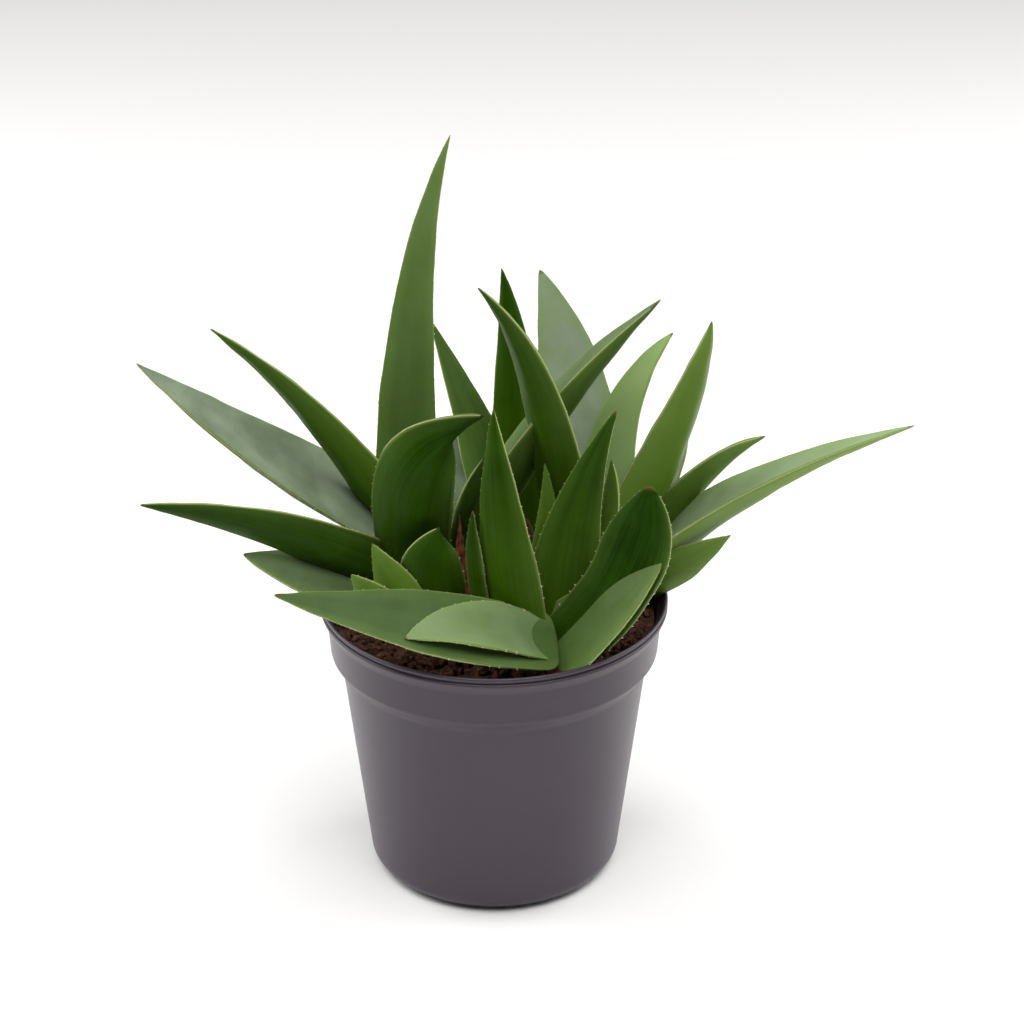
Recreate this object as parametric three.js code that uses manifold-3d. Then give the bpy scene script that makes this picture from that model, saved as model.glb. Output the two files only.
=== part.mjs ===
// A young aloe in a round plastic nursery pot.
// Millimetres, +Z up, +X to the right and -Y to the front. The origin is level with the undersides
// of the pot's feet, under the middle of the whole plant's spread. Everything is laid out about the
// pot's axis first, and moved over at the end. Angles are in degrees, from +X towards +Y.

import * as THREE from "three";
import { mergeVertices } from "three/addons/utils/BufferGeometryUtils.js";
import Module from "manifold-3d";

const wasm = await Module();
wasm.setup();

// ---------------------------------------------------------------- driving dimensions

// Pot
const POT_HEIGHT = 90;
const POT_WALL = 1.2;
const COLLAR_RADIUS = 50.6; // outside of the band under the lip, at its top
const LIP_OVERHANG = 1.9; // how far the lip flares out from the collar
const LIP_DEPTH = 4; // from the top down to where the flare starts
const LIP_EDGE = 1; // the upright edge at the very top
const LIP_ROUND = 0.4;
const COLLAR_HEIGHT = 15; // from the lip's top down to the shoulder
const COLLAR_DRAFT = 0.9; // how much narrower the collar is at its foot
const SHOULDER_STEP = 3.2; // from the collar in to the wall below it
const SHOULDER_HEIGHT = 3.6;
const WALL_TAPER = 7.9; // how much narrower the wall is at its base than under the shoulder
const CORNER_RADIUS = 6;
const FOOT_COUNT = 8;
const FOOT_HEIGHT = 2;
const FOOT_RING_WIDTH = 7;
const FOOT_INSET = 4; // from the wall's radius at the base
const FOOT_SHARE = 0.56; // of the ring that is foot, the rest being the drainage gaps
const FOOT_TURN = 14; // how far the ring of feet is turned
const DRAIN_HOLE_RADIUS = 1.9;
const POT_SEGMENTS = 40;
const CORNER_STEPS = 3;
const HOLE_SEGMENTS = 8;

// Soil
const SOIL_BELOW_RIM = 7;
const SOIL_MOUND = 2; // how much higher the soil is at the middle than at the wall
const MOUND_SHOULDER = 0.58; // of the soil's radius, out to where the mound falls away
const MOUND_SHOULDER_RISE = 0.8; // of the mound's height, at that place

// Every two pieces keep this gap where they touch.
const CLEARANCE = 0.3;

// An edge that a cut leaves shorter than this is closed up.
const SHORTEST_EDGE = 0.02;

// ---------------------------------------------------------------- helpers

const degrees = THREE.MathUtils.degToRad;

// A three.js geometry as a manifold-3d solid.
function solidOf(geometry) {
  const bare = geometry.clone();
  bare.deleteAttribute("normal");
  bare.deleteAttribute("uv");
  const merged = mergeVertices(bare, 1e-4);
  return new wasm.Manifold(
    new wasm.Mesh({
      numProp: 3,
      vertProperties: merged.attributes.position.array,
      triVerts: new Uint32Array(merged.index.array),
      tolerance: SHORTEST_EDGE,
    }),
  );
}

// A manifold-3d solid as a three.js geometry, without the crumbs that a cut can leave.
function geometryOf(solid) {
  const pieces = solid.decompose();
  const largest = pieces.reduce((a, b) => (a.volume() > b.volume() ? a : b));
  const mesh = largest.getMesh();
  const geometry = new THREE.BufferGeometry();
  geometry.setAttribute("position", new THREE.BufferAttribute(mesh.vertProperties, 3));
  geometry.setIndex(new THREE.BufferAttribute(mesh.triVerts, 1));
  geometry.computeVertexNormals();
  return geometry;
}

// A closed profile of [radius, height] points turned about the Z axis.
function turned(profile, segments) {
  const points = profile.map(([radius, height]) => new THREE.Vector2(radius, height));
  return new THREE.LatheGeometry(points, segments).rotateX(Math.PI / 2);
}

// ---------------------------------------------------------------- pot

const collarFoot = POT_HEIGHT - COLLAR_HEIGHT;
const wallTop = collarFoot - SHOULDER_HEIGHT;
const collarFootRadius = COLLAR_RADIUS - COLLAR_DRAFT;
const wallTopRadius = collarFootRadius - SHOULDER_STEP;
const baseRadius = wallTopRadius - WALL_TAPER;
const lipRadius = COLLAR_RADIUS + LIP_OVERHANG;
const cornerTop = FOOT_HEIGHT + CORNER_RADIUS;
const wallSlope = WALL_TAPER / (wallTop - cornerTop);
const soilTop = POT_HEIGHT - SOIL_BELOW_RIM;

// The inside of the pot, as a radius at a height, with a gap to leave.
function insideRadius(height, gap) {
  if (height >= collarFoot) {
    const share = (height - collarFoot) / COLLAR_HEIGHT;
    return collarFootRadius + share * COLLAR_DRAFT - POT_WALL - gap;
  }
  if (height >= wallTop) {
    const share = (height - wallTop) / SHOULDER_HEIGHT;
    return wallTopRadius + share * SHOULDER_STEP - POT_WALL - gap;
  }
  return baseRadius + (height - cornerTop) * wallSlope - POT_WALL - gap;
}

// A quarter round at the foot of the wall: [radius, height] from its bottom to its top.
function corner(radius, round, floor) {
  return Array.from({ length: CORNER_STEPS + 1 }, (_, i) => {
    const angle = degrees((90 * i) / CORNER_STEPS);
    return [radius - round * (1 - Math.sin(angle)), floor + round * (1 - Math.cos(angle))];
  });
}

// Where the gap after a foot is, around the ring.
const gapAngle = (i) => degrees(FOOT_TURN + ((i + 0.5) * 360) / FOOT_COUNT);

function makePot() {
  const floorTop = FOOT_HEIGHT + POT_WALL;
  const innerCorner = corner(baseRadius - POT_WALL, CORNER_RADIUS - POT_WALL, floorTop).reverse();
  const shell = solidOf(turned([
    [0, FOOT_HEIGHT],
    ...corner(baseRadius, CORNER_RADIUS, FOOT_HEIGHT),
    [wallTopRadius, wallTop],
    [collarFootRadius, collarFoot],
    [COLLAR_RADIUS, POT_HEIGHT - LIP_DEPTH],
    [lipRadius, POT_HEIGHT - LIP_EDGE],
    [lipRadius, POT_HEIGHT - LIP_ROUND],
    [lipRadius - LIP_ROUND, POT_HEIGHT],
    [lipRadius - POT_WALL, POT_HEIGHT],
    [COLLAR_RADIUS - POT_WALL, POT_HEIGHT - LIP_DEPTH],
    [insideRadius(collarFoot, 0), collarFoot],
    [insideRadius(wallTop, 0), wallTop],
    ...innerCorner,
    [0, floorTop],
  ], POT_SEGMENTS));

  const footOuter = baseRadius - FOOT_INSET;
  const footInner = footOuter - FOOT_RING_WIDTH;
  let feet = solidOf(turned([
    [footInner, 0],
    [footOuter, 0],
    [footOuter, FOOT_HEIGHT + POT_WALL / 2],
    [footInner, FOOT_HEIGHT + POT_WALL / 2],
    [footInner, 0],
  ], POT_SEGMENTS));
  const gapWidth = (2 * Math.PI * footOuter * (1 - FOOT_SHARE)) / FOOT_COUNT;
  for (let i = 0; i < FOOT_COUNT; i++) {
    const gap = new THREE.BoxGeometry(FOOT_RING_WIDTH * 3, gapWidth, FOOT_HEIGHT * 2);
    gap.translate(footOuter, 0, 0).rotateZ(gapAngle(i));
    feet = feet.subtract(solidOf(gap));
  }
  let pot = shell.add(feet);
  for (let i = 0; i < FOOT_COUNT; i++) {
    const depth = 2 * (FOOT_HEIGHT + POT_WALL);
    const radius = DRAIN_HOLE_RADIUS;
    const hole = new THREE.CylinderGeometry(radius, radius, depth, HOLE_SEGMENTS);
    hole.rotateX(Math.PI / 2).translate(footInner - 2 * radius, 0, FOOT_HEIGHT);
    hole.rotateZ(gapAngle(i));
    pot = pot.subtract(solidOf(hole));
  }
  return pot;
}

// ---------------------------------------------------------------- stems and soil

const STEM_RADIUS = 5;
const STEM_IN_SOIL = 12;
const STEM_FOOT_SHARE = 0.7; // of the radius, at the stem's foot
const STEM_TOP_SHARE = 0.6; // of the radius, at the edge of its blunt top
const STEM_TOP_RISE = 1; // from that edge up to the middle of the top
const STEM_STRAIGHT = 0.6; // of the height above the soil, before the stem draws in
const STEM_SEGMENTS = 12;

// Each head is a rosette on its own short stem: where it stands, and how tall its stem is.
const heads = {
  left: { x: -19, y: 12, height: 22 },
  right: { x: 29, y: 14, height: 22 },
  back: { x: 8, y: 30, height: 18 },
  front: { x: 14, y: -25, height: 14 },
  pup: { x: -21, y: -10, height: 12 },
};

function makeStem(head, gap) {
  const bottom = soilTop - STEM_IN_SOIL - gap;
  const top = soilTop + head.height + gap;
  const radius = STEM_RADIUS + gap;
  const stem = turned([
    [0, bottom],
    [radius * STEM_FOOT_SHARE, bottom],
    [radius, soilTop - STEM_IN_SOIL / 2],
    [radius, soilTop + head.height * STEM_STRAIGHT],
    [radius * STEM_TOP_SHARE, top - STEM_TOP_RISE],
    [0, top],
  ], STEM_SEGMENTS);
  return solidOf(stem.translate(head.x, head.y, 0));
}

function makeSoil(gap) {
  const floor = FOOT_HEIGHT + POT_WALL + CLEARANCE - gap;
  const edge = CLEARANCE - gap;
  const rim = insideRadius(soilTop, edge);
  return solidOf(turned([
    [0, floor],
    ...corner(baseRadius - POT_WALL - edge, CORNER_RADIUS - POT_WALL, floor),
    [insideRadius(wallTop, edge), wallTop],
    [insideRadius(collarFoot, edge), collarFoot],
    [rim, soilTop + gap],
    [rim * MOUND_SHOULDER, soilTop + SOIL_MOUND * MOUND_SHOULDER_RISE + gap],
    [0, soilTop + SOIL_MOUND + gap],
  ], POT_SEGMENTS));
}

// ---------------------------------------------------------------- leaves

const RING_AT = [0, 0.1, 0.22, 0.36, 0.5, 0.64, 0.77, 0.88, 0.95]; // along the leaf
const MARGIN_THICKNESS = 0.9;
const ROOT_WIDTH_SHARE = 0.82; // a leaf is a little narrower where it leaves the stem
const SHOULDER_AT = 0.55; // the section's points between midrib and margin, of the half width
const CHANNEL_AT_SHOULDER = 0.7; // of the channel's depth
const KEEL_AT_SHOULDER = 0.64; // of the keel's depth

// The outline of a leaf: half its width at a place from 0, its root, to 1, its tip.
function halfWidth(leaf, along) {
  const rise = THREE.MathUtils.smoothstep(along, 0, 0.3);
  const swell = ROOT_WIDTH_SHARE + (1 - ROOT_WIDTH_SHARE) * rise;
  return (leaf.width / 2) * swell * (1 - along ** leaf.belly);
}

// The section across a leaf: a shallow channel above, and a blunt keel below.
function sectionAcross(leaf, along, gap) {
  const half = halfWidth(leaf, along);
  const channel = half * leaf.channel * (1 - along);
  const keel = half * leaf.keel + MARGIN_THICKNESS * 0.5;
  const margin = Math.min(MARGIN_THICKNESS, half * 0.5) + gap;
  const w = half + gap;
  return [
    [-w, gap],
    [-w * SHOULDER_AT, gap - channel * CHANNEL_AT_SHOULDER],
    [0, gap - channel],
    [w * SHOULDER_AT, gap - channel * CHANNEL_AT_SHOULDER],
    [w, gap],
    [w, -margin],
    [w * SHOULDER_AT, -gap - keel * KEEL_AT_SHOULDER],
    [0, -gap - keel],
    [-w * SHOULDER_AT, -gap - keel * KEEL_AT_SHOULDER],
    [-w, -margin],
  ];
}

// The leaf's midrib: a curve from its stem, through its middle, to its tip. A leaf's upper face
// looks up and in towards its head, unless its row says which way the leaf leans.
function midrib(leaf) {
  const { x, y } = heads[leaf.head];
  const fromHead = ([dx, dy, dz]) => new THREE.Vector3(x + dx, y + dy, soilTop + dz);
  const root = fromHead(leaf.root);
  const middle = fromHead(leaf.mid);
  const tip = fromHead(leaf.tip);
  const azimuth = leaf.leans ?? THREE.MathUtils.radToDeg(Math.atan2(leaf.tip[1], leaf.tip[0]));
  const outward = new THREE.Vector3(Math.cos(degrees(azimuth)), Math.sin(degrees(azimuth)), 0);
  const inward = new THREE.Vector3(0, 0, 1).sub(outward);
  const control = middle.multiplyScalar(2).addScaledVector(root, -0.5).addScaledVector(tip, -0.5);
  return { curve: new THREE.QuadraticBezierCurve3(root, control, tip), inward };
}

function makeLeaf(leaf, gap) {
  const { curve, inward } = midrib(leaf);
  const points = [];
  const place = (along) => {
    const centre = curve.getPoint(along);
    const tangent = curve.getTangent(along);
    const normal = inward.clone().addScaledVector(tangent, -inward.dot(tangent)).normalize();
    normal.applyAxisAngle(tangent, degrees(leaf.roll + leaf.twist * along));
    const across = new THREE.Vector3().crossVectors(tangent, normal);
    return { centre, tangent, normal, across };
  };
  for (const along of RING_AT) {
    const { centre, tangent, normal, across } = place(along);
    if (along === 0) centre.addScaledVector(tangent, -gap);
    for (const [x, y] of sectionAcross(leaf, along, gap)) {
      points.push(centre.clone().addScaledVector(across, x).addScaledVector(normal, y));
    }
  }
  const ring = points.length / RING_AT.length;
  const end = place(1);
  const tipIndex = points.push(end.centre.clone().addScaledVector(end.tangent, gap * 2)) - 1;
  const root = place(0);
  const rootKeel = -halfWidth(leaf, 0) * leaf.keel;
  const rootCentre = root.centre.clone().addScaledVector(root.tangent, -gap)
    .addScaledVector(root.normal, rootKeel / 2);
  const rootIndex = points.push(rootCentre) - 1;
  const faces = [];
  const last = (RING_AT.length - 1) * ring;
  for (let i = 0; i < ring; i++) {
    const next = (i + 1) % ring;
    for (let row = 0; row < last; row += ring) {
      const [a, b, c, d] = [row + i, row + next, row + ring + next, row + ring + i];
      faces.push(a, b, d, b, c, d);
    }
    faces.push(last + i, last + next, tipIndex);
    faces.push(i, rootIndex, next);
  }
  const geometry = new THREE.BufferGeometry().setFromPoints(points);
  return solidOf(geometry.setIndex(faces));
}

// What a leaf has unless its row says otherwise.
const usualLeaf = { belly: 1.5, channel: 0.25, keel: 0.6, roll: 0, twist: 0 };

// Each leaf: the head it grows on, its root, its middle and its tip from that head at the soil,
// and its width. Of two leaves that press together, the one nearer the top of the list keeps its
// shape.
const leaves = {
  tall: {
    head: "left", root: [-7, 5, 14], mid: [-5.2, 12, 90], tip: [7, 18, 144],
    width: 24.5, leans: 95, keel: 0.3, belly: 1,
  },
  hook: {
    head: "left", root: [-4, -5, 4], mid: [-2.6, -20, 56.5], tip: [17, -12, 66.5],
    width: 26, leans: 250, belly: 3, keel: 0.8,
  },
  left_low: {
    head: "left", root: [-4, -4, 5], mid: [-44, -20, 33], tip: [-85, -32, 47],
    width: 22, roll: 70, keel: 0.5,
  },
  left_high: {
    head: "left", root: [-4, 7, 19], mid: [-48, -4, 51.5], tip: [-86, -14, 85],
    width: 36, roll: -14, keel: 0.6, belly: 1.7,
  },
  left_slim: {
    head: "left", root: [-3, 5, 12], mid: [-33.4, 6, 57], tip: [-66, 8, 86],
    width: 20, roll: 70, belly: 1.2,
  },
  left_rim: {
    head: "left", root: [-5, -4, 3], mid: [-30, -18, 16], tip: [-56, -22, 26],
    width: 28, roll: -30, belly: 2.5,
  },
  crossing: {
    head: "left", root: [3, 2, 14], mid: [32.5, -2, 65], tip: [69, -2, 100],
    width: 33, roll: -8, keel: 0.9, belly: 1.7,
  },
  left_inner: {
    head: "left", root: [6, -8, 8], mid: [10, -16, 37], tip: [17, -20, 58],
    width: 18, leans: 300, keel: 0.3,
  },
  spear: {
    head: "right", root: [-4, -8, 8], mid: [-15, -16, 75], tip: [-34, -20, 110],
    width: 20, leans: 250,
  },
  back_needle: {
    head: "back", root: [-1, 2, 10], mid: [-1, 10, 56], tip: [-6, 22, 93],
    width: 22, leans: 95,
  },
  back_blade: {
    head: "right", root: [2, 6, 10], mid: [-4.2, 28, 54], tip: [-15.5, 41, 91],
    width: 26, leans: 80, belly: 2.6,
  },
  back_short: {
    head: "right", root: [4, 4, 8], mid: [8.5, 19, 49], tip: [26, 26, 76],
    width: 22, leans: 60,
  },
  back_left: {
    head: "back", root: [-3, 2, 8], mid: [-12.4, 14, 38], tip: [-29, 27, 75],
    width: 22, leans: 110,
  },
  right_tall: {
    head: "right", root: [2, -3, 8], mid: [24, -6, 59], tip: [35, -4, 93],
    width: 28, leans: 300, belly: 1.6,
  },
  right_grey: {
    head: "right", root: [6, 2, 8], mid: [22, 10, 33], tip: [30, 16, 49],
    width: 16, leans: 60,
  },
  right_short: {
    head: "right", root: [6, 1, 6], mid: [31, 8, 36.5], tip: [54, 11, 48],
    width: 26, roll: -40, keel: 0.8,
  },
  right_long: {
    head: "right", root: [6, -2, 9], mid: [46, -12, 44], tip: [96, -19, 66],
    width: 30, roll: -2, keel: 0.8,
  },
  right_rim: {
    head: "right", root: [6, -7, 2], mid: [26, -16, 18], tip: [42, -19, 30],
    width: 20, roll: -70,
  },
  front_short: {
    head: "front", root: [5, -8, 8], mid: [-18.5, -17.5, 20.2], tip: [-40, -25, 19],
    width: 17.5, roll: -40, belly: 3.2,
  },
  front_upright: {
    head: "front", root: [-6, 2, 4], mid: [-11, 1, 44], tip: [-14, 5, 79],
    width: 23, leans: 250,
  },
  front_broad: {
    head: "front", root: [6, -3, 2], mid: [9, 5, 39], tip: [22, 10, 76],
    width: 26, leans: 80,
  },
  front_inner: {
    head: "front", root: [6, 2, 8], mid: [18, 8, 37], tip: [20, 10, 60],
    width: 18, leans: 40,
  },
  front_back: {
    head: "front", root: [0, 5, 10], mid: [2, 12, 35], tip: [1, 20, 54],
    width: 12, leans: 100,
  },
  front_shelf: {
    head: "front", root: [2, -5, 5], mid: [18.5, -11, 21.5], tip: [36, -10, 39],
    width: 27, roll: 42, belly: 1.8,
  },
  front_boat: {
    head: "front", root: [4, -5, 4], mid: [23, -8, 29], tip: [31, -3, 58],
    width: 28, roll: 20, twist: 50, belly: 5,
  },
  front_left: {
    head: "front", root: [6, -9, 9], mid: [-34, -18, 21.2], tip: [-78, -20, 31],
    width: 32, roll: -30, belly: 1.7, twist: -10,
  },
  pup_hood: {
    head: "pup", root: [5.5, 0, 5], mid: [2.2, -6, 26], tip: [5, -4, 37],
    width: 20, leans: 280, belly: 3.5,
  },
  pup_point: {
    head: "pup", root: [-1, -4, 4], mid: [-8, -8, 20], tip: [-15, -6, 33],
    width: 19, roll: 60, belly: 1.8,
  },
  pup_notched: {
    head: "pup", root: [-3, -6, 3], mid: [-12.5, -13, 17], tip: [-21, -14, 26.5],
    width: 13, roll: 60, belly: 2.5,
  },
  olive: {
    head: "front", root: [-15, 2, 4], mid: [-19, 2, 27], tip: [-20, 4, 46],
    width: 12, leans: 250,
  },
  back_low_1: {
    head: "left", root: [-3, 4, 4], mid: [-12, 28, 14], tip: [-19, 50, 24],
    width: 22,
  },
  back_low_2: {
    head: "left", root: [0, 6, 9], mid: [5, 30, 27], tip: [14, 54, 38],
    width: 26,
  },
  back_low_3: {
    head: "left", root: [-4, 3, 8], mid: [-20, 16, 19], tip: [-36, 30, 28],
    width: 20,
  },
  back_low_4: {
    head: "back", root: [0, 4, 4], mid: [-2, 24, 18], tip: [-6, 40, 27],
    width: 22,
  },
  back_low_5: {
    head: "back", root: [3, 4, 3], mid: [10, 24, 12], tip: [20, 44, 20],
    width: 20,
  },
  back_low_6: {
    head: "right", root: [4, 4, 4], mid: [14, 26, 15], tip: [22, 50, 22],
    width: 22,
  },
  back_low_7: {
    head: "right", root: [6, 3, 8], mid: [22, 18, 18], tip: [36, 34, 25],
    width: 20,
  },
};

// Dead leaf bases that have dried to thin brown strips between the heads.
const sheaths = {
  tall: {
    head: "left", root: [9, -22, 2], mid: [9, -22, 24], tip: [9, -22, 39],
    width: 5, leans: 270,
  },
  short: {
    head: "front", root: [-21, 9, 3], mid: [-21, 9, 15], tip: [-21, 8, 27],
    width: 5, leans: 270,
  },
};

// ---------------------------------------------------------------- assembly

const plastic = new THREE.MeshStandardMaterial({ color: 0x5a555b, roughness: 0.5 });
const peat = new THREE.MeshStandardMaterial({ color: 0x2a1a14, roughness: 1 });
const leafGreen = new THREE.MeshStandardMaterial({ color: 0x3f6b2e, roughness: 0.4 });
const dryBrown = new THREE.MeshStandardMaterial({ color: 0x6b3a22, roughness: 0.9 });
const stemBrown = new THREE.MeshStandardMaterial({ color: 0x5a4028, roughness: 0.8 });

const plant = new THREE.Group();
function addPiece(name, solid, material) {
  const mesh = new THREE.Mesh(geometryOf(solid), material);
  mesh.name = name;
  plant.add(mesh);
}

const pot = makePot();
addPiece("nursery_pot", pot, plastic);
let soil = makeSoil(0);
const stemCutters = [];
for (const [name, head] of Object.entries(heads)) {
  addPiece(`stem_${name}`, makeStem(head, 0), stemBrown);
  stemCutters.push(makeStem(head, CLEARANCE));
}
for (const cutter of stemCutters) soil = soil.subtract(cutter);
addPiece("potting_soil", soil, peat);

const cutters = [...stemCutters, makeSoil(CLEARANCE), pot];
function addLeaf(name, row, material) {
  const leaf = { ...usualLeaf, ...row };
  let solid = makeLeaf(leaf, 0);
  for (const cutter of cutters) solid = solid.subtract(cutter);
  addPiece(name, solid, material);
  cutters.push(makeLeaf(leaf, CLEARANCE));
}
for (const [name, row] of Object.entries(leaves)) addLeaf(`leaf_${name}`, row, leafGreen);
for (const [name, row] of Object.entries(sheaths)) addLeaf(`dry_sheath_${name}`, row, dryBrown);

// Everything moves over together, so that the origin is under the middle of the plant's spread.
const spread = new THREE.Box3().setFromObject(plant).getCenter(new THREE.Vector3());
plant.position.set(-spread.x, -spread.y, 0);

export default plant;
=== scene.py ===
# %% [markdown]
# # A young aloe in a round nursery pot
#
# The plant is a clump of five rosettes in a plastic grower's pot. The CAD model gives where every
# leaf, the pot and the soil are. This script gives them their fine shape and their finish.
#
# The frame comes first, because every piece is placed from it. Its box is kept, so that the
# finished model can be compared with it at the end.

# %% Load the frame
import math
import random

import bmesh
import bpy
import numpy as np
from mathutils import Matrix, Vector


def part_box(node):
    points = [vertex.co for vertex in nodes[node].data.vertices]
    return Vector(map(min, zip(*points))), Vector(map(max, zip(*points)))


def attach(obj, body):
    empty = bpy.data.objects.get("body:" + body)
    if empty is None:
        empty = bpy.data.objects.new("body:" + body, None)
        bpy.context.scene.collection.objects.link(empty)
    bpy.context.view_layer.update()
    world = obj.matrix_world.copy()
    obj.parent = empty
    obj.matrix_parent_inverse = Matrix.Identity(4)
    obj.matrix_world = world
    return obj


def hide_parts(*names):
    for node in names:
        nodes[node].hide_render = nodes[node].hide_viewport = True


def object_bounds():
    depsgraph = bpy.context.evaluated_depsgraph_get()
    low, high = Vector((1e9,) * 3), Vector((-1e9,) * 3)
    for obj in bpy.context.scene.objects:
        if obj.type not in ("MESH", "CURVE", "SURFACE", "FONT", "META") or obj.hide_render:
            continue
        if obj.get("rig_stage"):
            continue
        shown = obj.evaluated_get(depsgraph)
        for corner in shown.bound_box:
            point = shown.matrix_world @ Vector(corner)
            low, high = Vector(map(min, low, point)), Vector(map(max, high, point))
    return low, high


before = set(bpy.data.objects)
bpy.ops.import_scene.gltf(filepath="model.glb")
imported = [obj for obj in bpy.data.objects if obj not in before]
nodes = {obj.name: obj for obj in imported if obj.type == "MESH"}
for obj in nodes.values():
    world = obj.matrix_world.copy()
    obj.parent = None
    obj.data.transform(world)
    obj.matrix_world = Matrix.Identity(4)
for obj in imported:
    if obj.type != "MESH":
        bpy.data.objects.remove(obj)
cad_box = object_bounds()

MM = 0.001  # sizes are written in millimetres, and Blender works in metres
low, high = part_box("nursery_pot")
pot_axis = Vector(((low.x + high.x) / 2, (low.y + high.y) / 2, 0))
print("the plant is", [round((b - a) / MM) for a, b in zip(*cad_box)], "mm across and high")

# %% [markdown]
# Blender's operators act on everything that is selected, and the frame's nodes are still selected
# after loading. So each step starts by choosing just the piece that it works on. A finished piece
# has its place in its mesh, rides on the frame's one body, and hides the CAD node it stands for.

# %% Choosing a piece, and handing it over
def select_only(*pieces):
    """Leaves just these pieces selected, with the first of them active."""
    bpy.ops.object.select_all(action="DESELECT")
    for piece in pieces:
        piece.select_set(True)
    bpy.context.view_layer.objects.active = pieces[0]


def named(name):
    """Names the piece that an operator has just added, and returns it."""
    piece = bpy.context.active_object
    piece.name = piece.data.name = name
    return piece


def hand_over(piece, material, slot, *replaced):
    """Gives a finished piece its finish and its place in the frame."""
    select_only(piece)
    bpy.ops.object.transform_apply(location=True, rotation=True, scale=True)
    if not piece.data.materials:
        piece.data.materials.append(material)
    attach(piece, "root")
    if replaced:
        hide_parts(*replaced)
    return piece


# %% [markdown]
# Modifiers are added and applied one by one, as by hand.

# %% Applying a modifier
def apply_modifier(piece, kind, **settings):
    """Adds one modifier to a piece, sets it, and applies it."""
    select_only(piece)
    bpy.ops.object.modifier_add(type=kind)
    modifier = piece.modifiers[-1]
    for key, value in settings.items():
        setattr(modifier, key, value)
    bpy.ops.object.modifier_apply(modifier=modifier.name)


def clouds(name, size_mm):
    """A soft noise for the Displace modifier, with lumps of about this size."""
    texture = bpy.data.textures.get(name) or bpy.data.textures.new(name, "CLOUDS")
    texture.noise_scale = size_mm * MM
    texture.noise_depth = 2
    return texture


# %% [markdown]
# ## Finishes
#
# A material is a small tree of shader nodes. One function adds a node, with its settings and the
# sockets that feed it. Colours are picked as sRGB hex values, as on a paint card, and turned into
# the linear light that the renderer counts in.

# %% Nodes and colours
def linear(hex_value):
    """An sRGB hex colour, such as "#3f6b2e", as linear red, green, blue and alpha."""
    channels = [int(hex_value[i:i + 2], 16) / 255 for i in (1, 3, 5)]
    return (*[c / 12.92 if c <= 0.04045 else ((c + 0.055) / 1.055) ** 2.4 for c in channels], 1.0)


def add_node(tree, kind, settings=None, links=None):
    """Adds a shader node. Settings are the node's own or its inputs', and links feed its inputs."""
    node = tree.nodes.new("ShaderNode" + kind)
    for key, value in (settings or {}).items():
        if isinstance(key, str) and hasattr(node, key):
            setattr(node, key, value)
        else:
            node.inputs[key].default_value = value
    for key, socket in (links or {}).items():
        tree.links.new(socket, node.inputs[key])
    return node


def new_finish(name):
    """An empty material: its tree, and its Principled shader already joined to the output."""
    material = bpy.data.materials.new(name)
    material.use_nodes = True
    tree = material.node_tree
    tree.nodes.clear()
    shader = add_node(tree, "BsdfPrincipled")
    add_node(tree, "OutputMaterial", links={"Surface": shader.outputs[0]})
    return material, tree, shader


# %% [markdown]
# ### The pot: injection-moulded polypropylene
#
# Nursery pots are moulded from recycled polypropylene, which has a taupe grey tone. The mould's
# skin gives it a satin finish with a very fine grain, and handling leaves faint scuffs and a
# little dried soil dust. Polypropylene has an IOR of 1.49.

# %% Polypropylene
def polypropylene():
    material, tree, shader = new_finish("moulded taupe polypropylene")
    shader.inputs["IOR"].default_value = 1.49
    place = add_node(tree, "TexCoord")
    # patches of tone about 30 mm across, as recycled plastic has
    tone = add_node(tree, "TexNoise", {"Scale": 1 / (30 * MM), "Detail": 3.0},
                    {"Vector": place.outputs["Object"]})
    # handling scuffs, drawn long and thin around the pot
    turned = add_node(tree, "Mapping", {"Scale": (0.3, 0.3, 3.0)},
                      {"Vector": place.outputs["Object"]})
    scuff = add_node(tree, "TexNoise", {"Scale": 1 / (5 * MM), "Detail": 6.0, "Roughness": 0.7},
                     {"Vector": turned.outputs[0]})
    scuffed = add_node(tree, "MapRange", {1: 0.6, 2: 0.8, 3: 0.0, 4: 1.0},
                       {"Value": scuff.outputs["Fac"]})
    colour = add_node(tree, "Mix", {"data_type": "RGBA", 6: linear("#362b37"), 7: linear("#3d323e")},
                      {0: tone.outputs["Fac"]})
    worn = add_node(tree, "Mix", {"data_type": "RGBA", 7: linear("#453a45")},
                    {0: scuffed.outputs[0], 6: colour.outputs[2]})
    rough = add_node(tree, "MapRange", {1: 0.0, 2: 1.0, 3: 0.36, 4: 0.5},
                     {"Value": scuffed.outputs[0]})
    # the mould's grain is about 0.2 mm, drawn at 0.5 mm so that it shows
    grain = add_node(tree, "TexNoise", {"Scale": 1 / (0.5 * MM), "Detail": 2.0},
                     {"Vector": place.outputs["Object"]})
    bump = add_node(tree, "Bump", {"Strength": 0.12, "Distance": 0.05 * MM},
                    {"Height": grain.outputs["Fac"]})
    tree.links.new(worn.outputs[2], shader.inputs["Base Color"])
    tree.links.new(rough.outputs[0], shader.inputs["Roughness"])
    tree.links.new(bump.outputs[0], shader.inputs["Normal"])
    return material


pot_plastic = polypropylene()

# %% [markdown]
# ### The soil: peat, bark and coir
#
# Potting soil for succulents is dark peat with chips of bark and threads of coir. It is matt all
# over, and its colour changes from crumb to crumb.

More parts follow.
